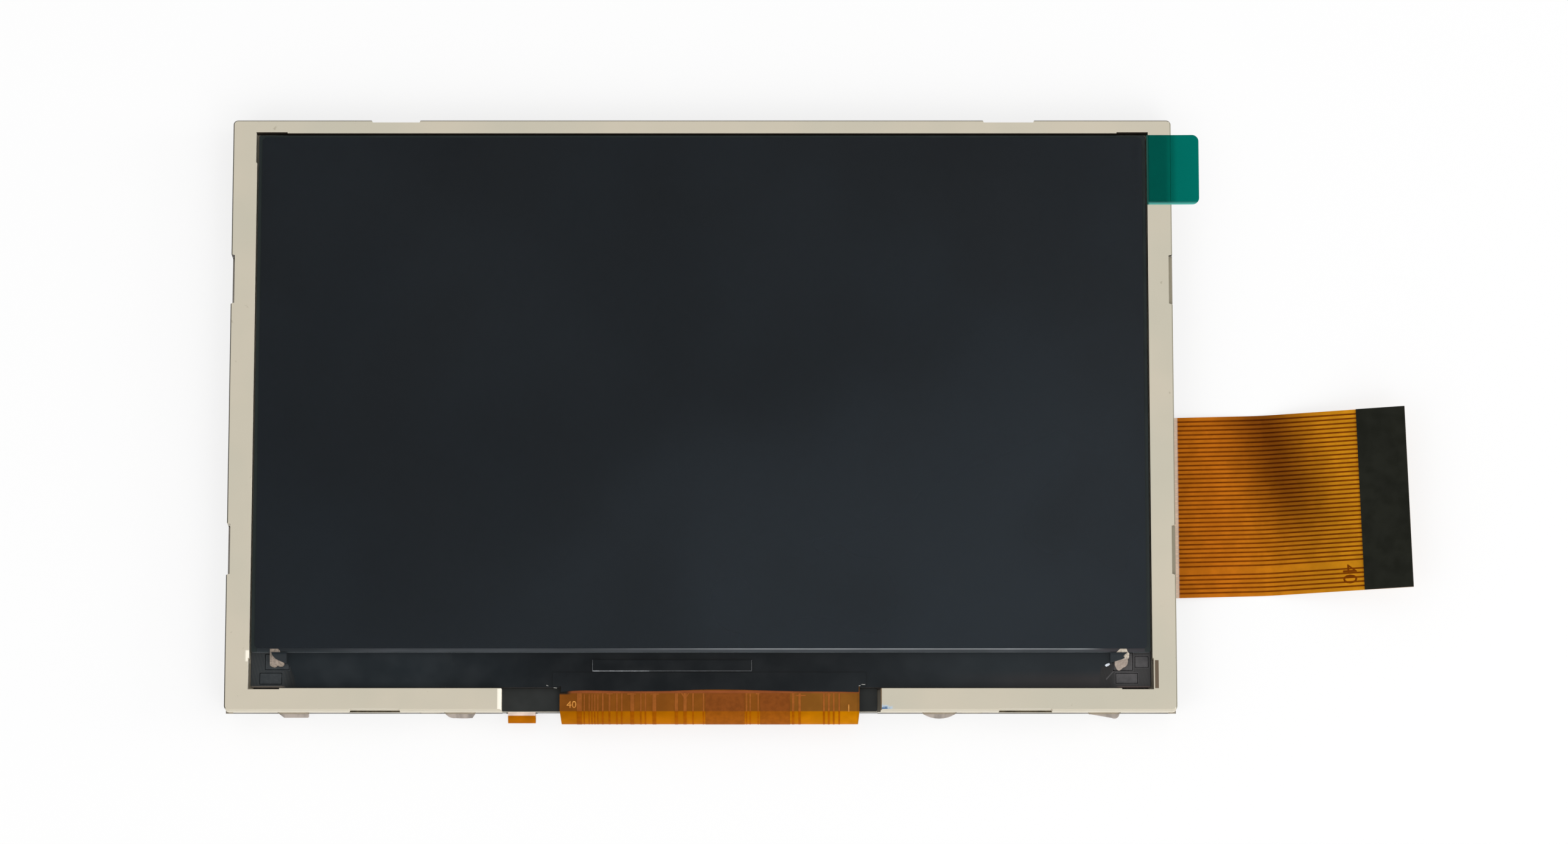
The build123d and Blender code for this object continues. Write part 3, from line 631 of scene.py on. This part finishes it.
guide = {"colour": (214, 222, 222), "clear": (206, 216, 216), "dot": (240, 242, 242), "dotPitch": 0.9,
         "dotUneven": 0.15, "dotSize": (-28, 30, 0.12, 0.38), "dotDepth": 0.004, "clarity": 0.6,
         "ior": 1.49, "rough": (5, 0.05, 0.14)}


def guideFinish():
    newFinish("lightGuide", guide["colour"], 0.08)
    dots = newNode("TexVoronoi", {"Scale": 1 / guide["dotPitch"], "Randomness": guide["dotUneven"],
                                  "Vector": where()})
    dotted = below(dots.outputs["Distance"], between(here()[1], *guide["dotSize"]))
    give("Transmission Weight", guide["clarity"])
    give("IOR", guide["ior"])
    relief(dotted, guide["dotDepth"])
    return surface(blend(dotted, guide["clear"], guide["dot"]), guide["rough"])


prism = {"colour": (204, 210, 214), "low": (198, 206, 212), "high": (226, 228, 232), "pitch": 0.12,
         "depth": 0.02, "rough": (6, 0.16, 0.28)}


def prismFinish(name, axis):
    newFinish(name, prism["colour"], 0.2)
    ribs = maths("PINGPONG", maths("DIVIDE", here()[axis], prism["pitch"]), 0.5)
    relief(ribs, prism["depth"])
    return surface(blend(ribs, prism["low"], prism["high"]), prism["rough"])


led = {"housing": (236, 232, 218), "phosphor": (232, 214, 92), "lens": corners("led_packages")[1].y - 0.07,
       "facing": (0.5, 0.9), "cloud": (0.15, 3, 0.9, 1.05), "rough": (0.3, 0.32, 0.5),
       "grain": (0.06, 3, 0.003)}


def ledFinish():
    newFinish("ledHousing", led["housing"], 0.4)
    lens = times(between(facing()[1], *led["facing"]), below(here()[1], led["lens"]))
    body = blend(lens, led["housing"], led["phosphor"])
    return surface(shaded(body, cloud(*led["cloud"])), led["rough"], led["grain"])


ledFlex = {"amber": (170, 96, 0), "pale": (236, 216, 204), "paleReach": (-33.98, -33.9),
           "paleFacing": (0.5, 0.8),
           "cloud": (1.2, 4, 0.88, 1.06, 0.35, 0.7), "rough": (1.5, 0.28, 0.42), "grain": (1.4, 3, 0.004)}


def ledFlexFinish():
    # the tab's flat start catches the light, and the rest is amber
    newFinish("backlightFilm", film["open"], 0.32, 0.0, film["gloss"])
    pale = times(between(here()[1], *ledFlex["paleReach"]), between(facing()[2], *ledFlex["paleFacing"]))
    base = blend(pale, ledFlex["amber"], ledFlex["pale"])
    return surface(shaded(base, cloud(*ledFlex["cloud"])), ledFlex["rough"], ledFlex["grain"])


copperTone = copperFinish()
amberFilm = filmFinish("amberFilm", 0.006)
solderTone = solderFinish()
darkLacquer = lacquerFinish()
finishes = {
    "back_tray": steelFinish(),
    "mould_frame": mouldFinish(),
    "reflector_sheet": whiteFilmFinish("silverWhiteReflector", (236, 238, 240), 0.18, 8),
    "light_guide_plate": guideFinish(),
    "led_packages": ledFinish(),
    "led_flex": ledFlexFinish(),
    "diffuser_sheet": whiteFilmFinish("milkyDiffuser", (230, 232, 232), 0.6, 5),
    "lower_prism_sheet": prismFinish("lowerPrismRibs", 0),
    "upper_prism_sheet": prismFinish("upperPrismRibs", 1),
    "rim_tape": blackFinish("blackRimTape", (50, 44, 41), 0.55, 0.2, 0.003),
    "rear_polarizer": polarizerFinish(),
    "tft_glass": glassFinish("lowerGlass", lowerGlass),
    "colour_filter_glass": glassFinish("upperGlass", coverGlass),
    "front_polarizer": polarizerFinish(),
    "protective_film": clearFilmFinish(),
    "pull_tab": pullTabFinish(),
    "driver_chip": siliconFinish(),
    "bond_sealant": darkLacquer,
    "silver_dots": pasteFinish(),
    "rail_tape": blackFinish("blackRailTape", (33, 35, 34), 0.45, 0.25, 0.004),
    "main_flex": amberFilm,
    "fold_tracks": copperTone,
    "tail_tracks": copperTone,
    "tail_stiffener": blackFinish("blackStiffener", (24, 25, 19), 0.4, 0.12, 0.003, (42, 40, 32), 0.12),
    "contact_fingers": giltFinish(),
    "wing_adhesive": whiteFilmFinish("whiteAdhesive", (222, 218, 204), 0.5, 2),
    "wing_tape": filmFinish("amberTape", 0.004),
    "flex_capacitors": chipPartFinish(*chipParts["capacitors"]),
    "flex_resistors": chipPartFinish(*chipParts["resistors"]),
    "flex_diodes": chipPartFinish(*chipParts["diodes"]),
    "led_solder_joints": solderTone,
}
for nodeName, finish in finishes.items():
    dress(nodeName, finish)
print("finishes on", len(finishes), "nodes")


# Mesh helpers. A flat drawing of u and v is laid on a surface by a function of u, v and the lift above it.
def place(name, data):
    thing = bpy.data.objects.new(name, data)
    bpy.context.scene.collection.objects.link(thing)
    return thing


def newMesh(name, points, faces, finish):
    mesh = bpy.data.meshes.new(name)
    mesh.from_pydata([Vector(point) * mm for point in points], [], faces)
    mesh.validate()
    mesh.update()
    mesh.materials.append(finish)
    return place(name, mesh)


def makePiece(name, points, faces, finish):
    piece = newMesh(name, points, faces, finish)
    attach(piece, "root")
    return piece


def onFold(u, v, lift):
    # u is X; v runs down the flex's outer face from where it starts to bend
    reach = foldOuter + lift
    if v <= 0:
        return (u, foldStart - v, foldMiddle + reach)
    angle = min(v / foldOuter, pi)
    past = max(v - pi * foldOuter, 0.0)
    return (u, foldStart - reach * sin(angle) + past, foldMiddle + reach * cos(angle))


def onWing(u, v, lift):
    return (u, v, wingFace - lift)


def onLedge(u, v, lift):
    return (u, v, ledge + lift)


def facesOf(mesh):
    return [tuple(face.vertices) for face in mesh.polygons]


hair = 0.004        # air left under a clear film, so that what it lies on is seen through it


def hairAbove(name, nodeName, raised):
    source = nodes[nodeName]
    points = [source.matrix_world @ vertex.co / mm for vertex in source.data.vertices]
    for point in points:
        point.z += hair if raised(point) else 0.0
    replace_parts(makePiece(name, points, facesOf(source.data), finishes[nodeName]), nodeName)


class Drawing:
    # gathers closed strips and patches that share one surface
    def __init__(self, surface, thickness, step=0.25):
        self.surface = surface
        self.thickness = thickness
        self.step = step
        self.points = []
        self.faces = []

    def slab(self, rows, base=0.0):
        # rows of (left, right) points make a closed sheet of this drawing's thickness
        start = len(self.points)
        for left, right in rows:
            for u, v in (left, right):
                self.points.append(self.surface(u, v, base))
                self.points.append(self.surface(u, v, base + self.thickness))
        count = len(rows)
        for row in range(count - 1):
            a = start + 4 * row
            b = a + 4
            self.faces += [(a + 1, a + 3, b + 3, b + 1), (a, b, b + 2, a + 2), (a, a + 1, b + 1, b),
                           (a + 2, b + 2, b + 3, a + 3)]
        last = start + 4 * (count - 1)
        self.faces += [(start, start + 2, start + 3, start + 1), (last, last + 1, last + 3, last + 2)]

    def levels(self, rows, base=0.0):
        # rows of (v, left u, right u)
        self.slab([((left, level), (right, level)) for level, left, right in rows], base)

    def line(self, path, width, base=0.0):
        # a track of even width along a path, with mitred corners and short steps for curved surfaces
        places = []
        for first, last in zip(path, path[1:]):
            span = (Vector(last) - Vector(first)).length
            steps = max(1, int(span / self.step))
            places += [Vector(first).lerp(Vector(last), step / steps) for step in range(steps)]
        places.append(Vector(path[-1]))
        rows = []
        for index, point in enumerate(places):
            before = places[max(index - 1, 0)]
            after = places[min(index + 1, len(places) - 1)]
            first = (point - before).normalized() if index else (after - point).normalized()
            second = (after - point).normalized() if index < len(places) - 1 else first
            middle = (first + second).normalized()
            side = Vector((-middle.y, middle.x)) * width / 2 / max(middle.dot(first), 0.5)
            rows.append((tuple(point - side), tuple(point + side)))
        self.slab(rows, base)

    def disc(self, u, v, radius, sides=14):
        rows = []
        for step in range(sides // 2 + 1):
            angle = pi * step / (sides // 2)
            half = radius * max(sin(angle), 0.02)
            rows.append((v - radius * cos(angle), u - half, u + half))
        self.levels(rows)

    def piece(self, name, finish, slotName):
        return makePiece(name, self.points, self.faces, finish)


# Fold: crossbars, forks and fine tracks between the main ones, all standing as high as the tracks do
fold = {"top": -2.1, "bottom": 3.75, "fine": 0.13, "bar": 0.14, "rise": 0.014, "step": 0.2,
        "bars": ((-10.45, -9.75, -2.05), (-8.13, -7.15, -2.0), (-5.61, -4.64, -2.0), (6.10, 6.62, -2.05),
                 (10.50, 11.62, -1.85), (13.86, 14.40, -1.9)),
        "fineLines": (-12.89, -12.35, -12.04, -11.73, -11.39), "fineStart": 0.1,
        "fork": -1.73, "forkOpen": 0.38, "forkShut": 0.12, "forkLength": 0.45}


def foldCopper():
    drawing = Drawing(onFold, fold["rise"], fold["step"])
    for left, right, level in fold["bars"]:
        drawing.line([(left, level), (right, level)], fold["bar"])
    for u in fold["fineLines"]:
        drawing.line([(u, fold["top"] + fold["fineStart"]), (u, fold["bottom"])], fold["fine"])
    for side in (-1, 1):
        start = (fold["fork"] + side * fold["forkOpen"], fold["top"])
        end = (fold["fork"] + side * fold["forkShut"], fold["top"] + fold["forkLength"])
        drawing.line([start, end], fold["bar"])
    drawing.piece("foldCopper", copperTone, "fold_tracks")


hairAbove("coverFilm", "protective_film", lambda point: point.z < clearFilm["middle"])
hairAbove("greenTab", "pull_tab", lambda point: point.x < tab["raisedTo"])
foldCopper()
print("fold drawn")

# Plain pin numbers etched in the film: text, height and place
etched = {"fold": (("40", 0.80, (-14.86, -0.45)), ("1", 0.84, (16.10, -0.03))),
          "tail": ("40", 1.6, (21.05, 17.5)),
          "thickness": 0.012, "letterSize": 1.4, "film": (216, 146, 62), "pale": (220, 152, 66),
          "brown": (196, 124, 44), "cloud": (0.3, 3), "grain": (0.15, 2, 0.002)}


def etchedNumber(name, number, surface, turn, finish):
    text, height, start = number
    curve = bpy.data.curves.new(name, "FONT")
    curve.body = text
    curve.size = height * etched["letterSize"]
    curve.resolution_u = 3
    curve.extrude = etched["thickness"] / 2
    drawn = place(name, curve)
    bpy.context.view_layer.update()
    flat = bpy.data.meshes.new_from_object(drawn)
    bpy.data.objects.remove(drawn)
    points = []
    for vertex in flat.vertices:
        across = vertex.co.x * cos(turn) - vertex.co.y * sin(turn)
        up = vertex.co.x * sin(turn) + vertex.co.y * cos(turn)
        points.append(surface(start[0] + across, start[1] - up, vertex.co.z + etched["thickness"] / 2))
    makePiece(name, points, facesOf(flat), finish)


def bareFilmFinish():
    newFinish("etchedWindow", etched["film"], 0.34)
    return surface(blend(cloud(*etched["cloud"]), etched["pale"], etched["brown"]), None, etched["grain"])


bareFilm = bareFilmFinish()
for count, number in enumerate(etched["fold"]):
    etchedNumber("pinNumber%d" % count, number, onFold, 0.0, bareFilm)

# The tail: a flat walk, a slight slope down, and a crease from which it rises to the connector's end
tail = {"root": (53.35, 0.03), "angle": radians(1.85), "start": -3.35, "height": -0.14,
        "walk": (("turn", -6.0, radians(2.5)), ("run", 10.85, 0),
                 ("turn", 12.0, radians(13.0)), ("run", 15.0, 0))}


def tailWalk(distance):
    along, high, heading = tail["start"], tail["height"], 0.0
    for kind, size, turn in tail["walk"]:
        if kind == "run":
            step = min(distance, size)
            along += step * cos(heading)
            high += step * sin(heading)
        else:
            step = min(distance, abs(size) * turn)
            turned = heading + step / size
            along += size * (sin(turned) - sin(heading))
            high -= size * (cos(turned) - cos(heading))
            heading = turned
        distance -= step
    return along, high, heading


def onTail(u, v, lift):
    # u is the way along the film from where it leaves the tray, and v is across it from its upper edge
    along, high, heading = tailWalk(u)
    off = filmThickness / 2 + lift
    along, high = along - off * sin(heading), high + off * cos(heading)
    x = tail["root"][0] + along * cos(tail["angle"]) + v * sin(tail["angle"])
    return (x, tail["root"][1] + along * sin(tail["angle"]) - v * cos(tail["angle"]), high)


etchedNumber("tailNumber", etched["tail"], onTail, -pi / 2, copperTone)
print("numbers etched")

# Wing: the tracks that run from the tail to the fold, seen through the film on the module's back
wing = {"pins": 40, "missing": 35, "pitch": 0.5, "width": 0.16, "rise": 0.008, "start": 50.0,
        "bottom": -32.6,
        "corner": 0.8, "leftLast": 16, "leftTurn": -9.6, "leftPitch": 0.36, "rightFirst": 27,
        "rightTurn": 12.4,
        "rightPitch": 0.34, "middleEnd": 14.2, "stagger": 0.3, "padRadius": 0.28, "step": 60.0}


def tailLevel(pin, x):
    # Y of a tail track at some X, continued behind the module
    slope = sin(tail["angle"]) / cos(tail["angle"])
    return tail["root"][1] - wing["pitch"] * pin / cos(tail["angle"]) + (x - tail["root"][0]) * slope


def wingCopper():
    drawing = Drawing(onWing, wing["rise"], wing["step"])
    for pin in range(1, wing["pins"] + 1):
        if pin == wing["missing"]:
            continue
        path = [(wing["start"], tailLevel(pin, wing["start"]))]
        middle = wing["leftLast"] < pin < wing["rightFirst"]
        if middle:
            path.append((wing["middleEnd"] + wing["stagger"] * (pin % 3), tailLevel(pin, wing["middleEnd"])))
        else:
            turn = wing["leftTurn"] - wing["leftPitch"] * (wing["leftLast"] - pin)
            if pin >= wing["rightFirst"]:
                turn = wing["rightTurn"] + wing["rightPitch"] * (pin - wing["rightFirst"])
            level = tailLevel(pin, turn)
            path += [(turn + wing["corner"], level), (turn, level - wing["corner"]), (turn, wing["bottom"])]
        drawing.line(path, wing["width"])
        if middle:
            drawing.disc(*path[-1], wing["padRadius"])
    drawing.piece("wingCopper", copperTone, "tail_tracks")


wingCopper()

# Solder that climbs the ends of the parts on the wing. A row is its Y, the first part's X, the pitch, the
# count, half a part's length and the width of its end.
climb = {"reach": 0.26, "height": 0.3, "steps": 5, "flare": 0.03,
         "rows": ((-21.0, -8.0, 2.9, 8, 0.8, 0.78), (-16.4, -8.0, 2.9, 5, 0.8, 0.78),
                  (-11.8, 0.7, 2.9, 4, 0.8, 0.78), (-16.4, 8.6, 2.1, 4, 0.5, 0.48))}


def partEnds():
    for y, first, pitch, count, reach, width in climb["rows"]:
        for index in range(count):
            for side in (-1, 1):
                yield first + pitch * index + side * reach, y, side, width


def partSolder():
    points = []
    faces = []
    for x, y, side, width in partEnds():
        start = len(points)
        for step in range(climb["steps"] + 1):
            share = step / climb["steps"]
            out = climb["reach"] * share
            high = climb["height"] * (1 - share) ** 2
            half = width / 2 + climb["flare"] * share
            for across in (-half, half):
                points.append((x + side * out, y + across, wingFace - high))
        for across in (-width / 2, width / 2):
            points.append((x, y + across, wingFace))
        base = start + 2 * (climb["steps"] + 1)
        last = start + 2 * climb["steps"]
        for a in range(start, last, 2):
            faces.append((a, a + 1, a + 3, a + 2))
        faces.append((start, base, base + 1, start + 1))
        faces.append((base, last, last + 1, base + 1))
        faces.append(tuple([base] + list(range(start, last + 1, 2))))
        faces.append(tuple([base + 1] + list(range(last + 1, start, -2))))
    makePiece("partSolder", points, faces, solderTone)


partSolder()
print("wing drawn")

# Ledge: metal pads used to line up the panel, and a dark lacquer that ends in a point over each silver dot
pads = {"thickness": 0.004, "rim": 0.13, "step": 10,
        "places": ((45.66, 47.90, -29.05, -27.06), (48.10, 49.63, -28.74, -27.44),
                   (45.96, 48.43, -30.52, -29.32), (-48.3, -45.6, -29.0, -27.2),
                   (-48.9, -46.4, -30.6, -29.3)),
        "line": ((44.92, -30.05), (45.81, -29.06)), "metal": (78, 76, 77),
        "right": ((70, 69, 70), (82, 80, 81)), "left": ((50, 54, 57), (56, 60, 62)), "cloud": (0.6, 4),
        "rough": (0.5, 0.15, 0.3), "grain": (0.1, 2, 0.001)}
lacquer = {"thickness": 0.02, "base": 0.006,
           "rows": ((-27.06, -45.95, 45.42), (-28.20, -45.95, 45.42), (-28.35, -45.8, 45.2),
                    (-28.50, -45.65, 44.85), (-28.64, -45.5, 44.4), (-29.7, -45.1, 44.2),
                    (-30.93, -44.8, 44.2)),
           "leftPoint": ((-27.09, -47.60, -45.9), (-27.30, -47.54, -45.9), (-27.47, -47.44, -45.9),
                         (-27.74, -47.20, -45.9), (-27.90, -46.98, -45.9), (-28.05, -46.65, -45.9),
                         (-28.20, -46.30, -45.9), (-28.30, -46.05, -45.9)),
           "rightPoint": ((-27.11, 45.38, 47.29), (-27.35, 45.38, 47.0), (-27.53, 45.38, 46.84),
                          (-27.74, 45.38, 47.0), (-27.92, 45.38, 46.53), (-28.11, 45.38, 45.88),
                          (-28.24, 45.38, 45.5)),
           "clear": 0.001, "cover": 0.12, "crest": -27.37, "low": -28.9, "rise": 0.55, "curve": 0.43}


def padFinish():
    newFinish("thinFilmMetal", pads["metal"], 0.2)
    patches = cloud(*pads["cloud"])
    left, right = [blend(patches, *pads[side]) for side in ("left", "right")]
    return surface(blend(above(here()[0], 0.0), left, right), pads["rough"], pads["grain"])


def onDot(u, v, lift):
    # lift 0 is the ledge and lift 1 is just above the paste that falls from the upper glass
    share = min(max((v - lacquer["low"]) / (lacquer["crest"] - lacquer["low"]), 0.0), 1.0)
    top = lacquer["rise"] * share ** lacquer["curve"] + lacquer["cover"]
    return (u, v, ledge + lacquer["clear"] + lift * top)


def ledgeMetal():
    drawing = Drawing(onLedge, pads["thickness"], pads["step"])
    for low, high, bottom, top in pads["places"]:
        drawing.levels([(bottom, low, high), (top, low, high)])
        rim = [(low, bottom), (high, bottom), (high, top), (low, top), (low, bottom)]
        drawing.line(rim, pads["rim"])
    drawing.line(pads["line"], pads["rim"])
    drawing.piece("ledgeMetal", padFinish(), "silver_dots")


def ledgeLacquer():
    flat = Drawing(onLedge, lacquer["thickness"])
    flat.levels(lacquer["rows"], lacquer["base"])
    flat.piece("ledgeLacquer", darkLacquer, "bond_sealant")
    for name in ("leftPoint", "rightPoint"):
        point = Drawing(onDot, 1.0)
        point.levels(lacquer[name])
        point.piece(name, darkLacquer, "bond_sealant")


# A thin strip on the upper glass along the polarizer's edge, painted with the light that the edge and the
# bare glass below it catch
edgeLight = {"top": -26.64, "bottom": -27.03, "half": 49.2, "step": 0.7, "thickness": 0.01, "wave": 0.015,
             "waveRate": 0.9, "strip": (60, 64, 68), "faint": (30, 36, 40), "litFrom": (-44, -35),
             "rightEnd": (56, 54, 58), "rightFade": (42, 46), "bright": (150, 154, 157),
             "line": (-26.79, -26.73),
             "lineFrom": (-16, 12), "lineTo": (45, 42), "cloud": (5.0, 4, 0.88, 1.1, 0.3, 0.7, (1, 0.2, 1)),
             "grain": (0.3, 3, 0.001)}


def edgeLightFinish():
    newFinish("cutEdgeLight", edgeLight["strip"], 0.3)
    x, y = here()[:2]
    strip = blend(between(x, *edgeLight["litFrom"]), edgeLight["faint"], edgeLight["strip"])
    strip = blend(between(x, *edgeLight["rightFade"]), strip, edgeLight["rightEnd"])
    line = times(between(y, *edgeLight["line"]), between(x, *edgeLight["lineFrom"]),
                 between(x, *edgeLight["lineTo"]))
    strip = blend(line, strip, edgeLight["bright"])
    return surface(shaded(strip, cloud(*edgeLight["cloud"])), None, edgeLight["grain"])


def onUpperGlass(u, v, lift):
    return (u, v + edgeLight["wave"] * sin(u * edgeLight["waveRate"]), upperGlass + lift)


def paintedEdgeHighlights():
    drawing = Drawing(onUpperGlass, edgeLight["thickness"], edgeLight["step"])
    middle = (edgeLight["top"] + edgeLight["bottom"]) / 2
    ends = [(-edgeLight["half"], middle), (edgeLight["half"], middle)]
    drawing.line(ends, edgeLight["top"] - edgeLight["bottom"])
    drawing.piece("paintedEdgeHighlights", edgeLightFinish(), "colour_filter_glass")


ledgeLacquer()
paintedEdgeHighlights()
ledgeMetal()

# Chips and crumbs on the ledge, painted near white as glints where they catch the light: two ends and the
# height of the underside
crumbGlints = {"thickness": 0.02, "width": 0.05, "tone": (206, 204, 198), "dark": 0.6, "patches": (0.1, 3),
          "grain": (0.05, 3, 0.004),
          "lines": (((17.50, -30.80), (17.70, -30.76), 0.172), ((17.80, -30.62), (18.22, -30.64), 0.172),
                    ((-17.10, -30.70), (-16.90, -30.78), 0.03), ((-16.30, -30.97), (-15.93, -31.02), 0.0))}


def ledgeCrumbGlints():
    drawing = Drawing(onLedge, crumbGlints["thickness"])
    for first, last, base in crumbGlints["lines"]:
        drawing.line((first, last), crumbGlints["width"], base)
    newFinish("glassCrumbGlints", crumbGlints["tone"], 0.2)
    colour = blend(mottle(*crumbGlints["patches"]), crumbGlints["tone"], tone(*crumbGlints["tone"], crumbGlints["dark"]))
    drawing.piece("ledgeCrumbGlints", surface(colour, None, crumbGlints["grain"]), "tft_glass")


ledgeCrumbGlints()
print("ledge drawn")

# Floor, light and camera
floor = {"size": 3000, "under": 0.02, "colour": (246, 246, 246), "roughness": 0.9, "ownLight": 0.72}


def makeFloor():
    half = floor["size"] / 2
    level = cadBox[0][2] / mm - floor["under"]
    newFinish("paleFloor", floor["colour"], floor["roughness"], 0.0, 0.0)
    ray = newNode("LightPath").outputs
    seen = either(either(ray["Is Camera Ray"], ray["Is Glossy Ray"]), ray["Is Transmission Ray"])
    mixShaders(times(seen, floor["ownLight"]), making["shader"], newNode("Emission"))
    points = [(x, y, level) for x, y in ((-half, -half), (half, -half), (half, half), (-half, half))]
    newMesh("floor", points, [(0, 1, 2, 3)], making["material"])


sky = {"zenith": 0.13, "front": 1.12, "rear": 0.85, "around": (-0.8, 0.8),
       "glow": (-0.17, -0.09, 0.0, 0.36), "overhead": (0.80, 0.95)}


def makeSky():
    # darker overhead, where the panel mirrors it, with a paler patch toward the front right
    world = bpy.data.worlds.new("studio")
    bpy.context.scene.world = world
    world.use_nodes = True
    making["tree"] = world.node_tree
    x, y, up = split(newNode("TexCoord").outputs["Generated"])
    top = plus(between(minus(x, y), *sky["glow"]), sky["zenith"])
    around = between(y, *sky["around"], sky["front"], sky["rear"])
    high = between(up, *sky["overhead"])
    level = plus(times(high, top), times(without(high), around))
    back = world.node_tree.nodes["Background"]
    plug(white, back.inputs["Color"])
    plug(either(level, newNode("LightPath").outputs["Is Camera Ray"]), back.inputs["Strength"])


# where each lamp hangs, its size and its power; all face the module
lamps = {"frontRight": ((320, -520, 420), 420, 1.0), "frontLeft": ((-480, -300, 400), 380, 0.5),
         "low": ((60, -620, 120), 260, 0.3), "right": ((700, 40, 170), 260, 1.4)}


def makeLamp(name, spot, size, power):
    light = bpy.data.lights.new(name, "AREA")
    light.size = size * mm
    light.energy = power
    lamp = place(name, light)
    lamp.location = Vector(spot) * mm
    lamp.rotation_euler = (-lamp.location).to_track_quat("-Z", "Y").to_euler()


view = {"place": (9.224, -149.344, 731.640), "tilt": 11.5, "lens": 153.03, "sensor": 36, "nearest": 0.01}


def makeCamera():
    camera = bpy.data.cameras.new("camera")
    camera.lens = view["lens"]
    camera.sensor_width = view["sensor"]
    camera.clip_start = view["nearest"]
    eye = place("camera", camera)
    eye.location = Vector(view["place"]) * mm
    eye.rotation_euler = (radians(view["tilt"]), 0, 0)
    bpy.context.scene.camera = eye


makeFloor()
makeSky()
for lampName, lamp in lamps.items():
    makeLamp(lampName, *lamp)
makeCamera()
bpy.context.scene.view_settings.view_transform = "Standard"
print("stage set")
